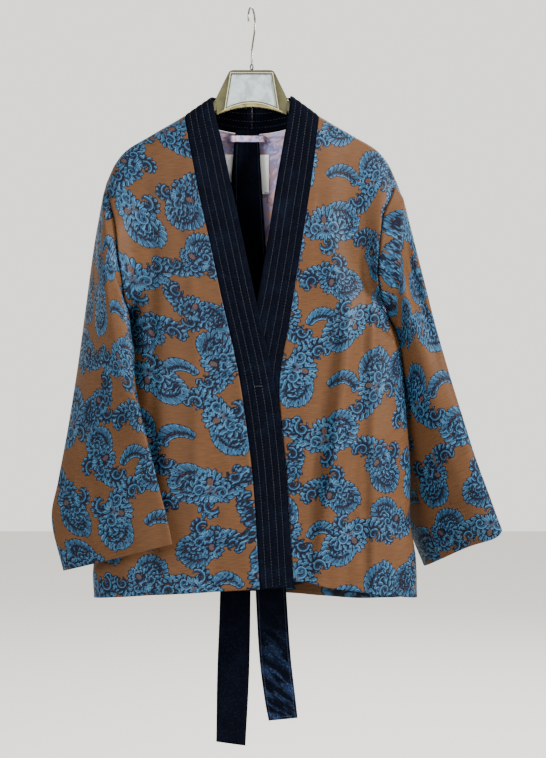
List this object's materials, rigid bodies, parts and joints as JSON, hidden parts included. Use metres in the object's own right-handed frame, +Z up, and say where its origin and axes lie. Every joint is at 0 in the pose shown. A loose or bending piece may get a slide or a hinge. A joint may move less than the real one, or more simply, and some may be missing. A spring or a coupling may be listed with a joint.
{
  "type": "kimono jacket on a hanger",
  "caption": "Hip-length kimono jacket in scroll-patterned brocade with a velvet band and loose belt, hanging open-necked on a clear hanger.",
  "frame": {"origin": "the seat of the hook, at the top of the bend's inside, where a rod or peg carries the hanger", "axes": "+Z up, the front of the jacket faces -Y, +X is the viewer's right (the wearer's left)"},
  "size_m": [0.6385, 0.172, 1.0606],
  "materials": {
    "brocade": "ribbed jacquard, teal-blue scroll leaves with navy outlines on bronze brown, slight sheen",
    "velvet": "dark navy velvet with a blue sheen where the pile turns",
    "brocade_reverse": "muted rose and lilac reverse of the jacquard, matt",
    "label_cloth": "plain white woven tape, bare",
    "clear_plastic": "clear moulding with a faint olive tint, gloss",
    "chrome_wire": "bright wire",
    "dark_metal": "dull dark wire"
  },
  "bodies": {
    "root": {"right_front": "brocade", "left_front": "brocade", "back": "brocade", "right_sleeve_front": "brocade", "right_sleeve_back": "brocade", "left_sleeve_front": "brocade", "left_sleeve_back": "brocade", "collar_right": "velvet", "collar_left": "velvet", "back_lining": "brocade_reverse", "label": "label_cloth", "hang_loop": "brocade_reverse", "belt": "velvet", "hanger": "clear_plastic", "hook": "chrome_wire", "hook_eye": "dark_metal"}
  },
  "joints": []
}
